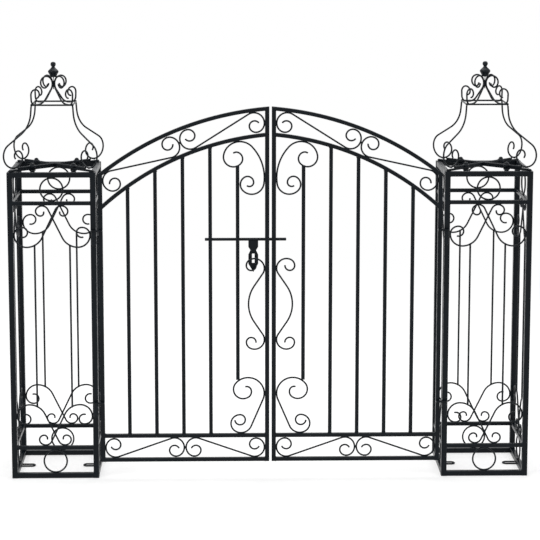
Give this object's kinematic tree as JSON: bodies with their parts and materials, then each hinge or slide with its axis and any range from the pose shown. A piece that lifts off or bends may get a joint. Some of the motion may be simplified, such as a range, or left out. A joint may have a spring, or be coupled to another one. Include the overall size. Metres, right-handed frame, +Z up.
{
  "type": "ornamental garden gate",
  "caption": "Wrought iron garden gate: arched double leaves with scrollwork and a sliding bolt, hung between square open-work posts with scrolled crowns and finials.",
  "frame": {"origin": "middle of the underside of the left post's front bottom rail, on the ground", "axes": "+X along the gate from the left post to the right one, +Y to the back, +Z up; the front is the side the leaves open to"},
  "size_m": [1.234, 0.2235, 0.9777],
  "materials": {
    "iron": "semi-gloss black powder coat"
  },
  "bodies": {
    "posts": {"left_front_panel": "iron", "left_back_panel": "iron", "left_outer_panel": "iron", "left_gate_panel": "iron", "left_top_cross": "iron", "left_crown_base": "iron", "left_crown_bolts": "iron", "left_crown_legs": "iron", "left_crown_collar": "iron", "left_crown_scrolls": "iron", "left_finial": "iron", "left_peg_loops": "iron", "left_hinge_barrels": "iron", "right_front_panel": "iron", "right_back_panel": "iron", "right_outer_panel": "iron", "right_gate_panel": "iron", "right_top_cross": "iron", "right_crown_base": "iron", "right_crown_bolts": "iron", "right_crown_legs": "iron", "right_crown_collar": "iron", "right_crown_scrolls": "iron", "right_finial": "iron", "right_peg_loops": "iron", "right_hinge_barrels": "iron"},
    "left_leaf": {"left_leaf_panel": "iron", "left_arch_scrolls": "iron", "left_bottom_scrolls": "iron", "left_centre_scrolls": "iron", "left_hinge_pins": "iron", "left_bolt_keepers": "iron"},
    "right_leaf": {"right_leaf_panel": "iron", "right_arch_scrolls": "iron", "right_bottom_scrolls": "iron", "right_centre_scrolls": "iron", "right_hinge_pins": "iron", "right_bolt_keepers": "iron"},
    "bolt": {"bolt_rod": "iron", "bolt_handle": "iron"}
  },
  "joints": [
    {"name": "left_leaf_hinge", "type": "hinge", "parent": "posts", "child": "left_leaf", "pos_m": [0.0975, -0.01225, 0.371], "axis": [0, 0, -1], "range_deg": [0, 180]},
    {"name": "right_leaf_hinge", "type": "hinge", "parent": "posts", "child": "right_leaf", "pos_m": [0.9175, -0.01225, 0.371], "axis": [0, 0, 1], "range_deg": [0, 180]},
    {"name": "bolt_slide", "type": "slide", "parent": "left_leaf", "child": "bolt", "axis": [-1, 0, 0], "range_m": [0, 0.045]}
  ]
}
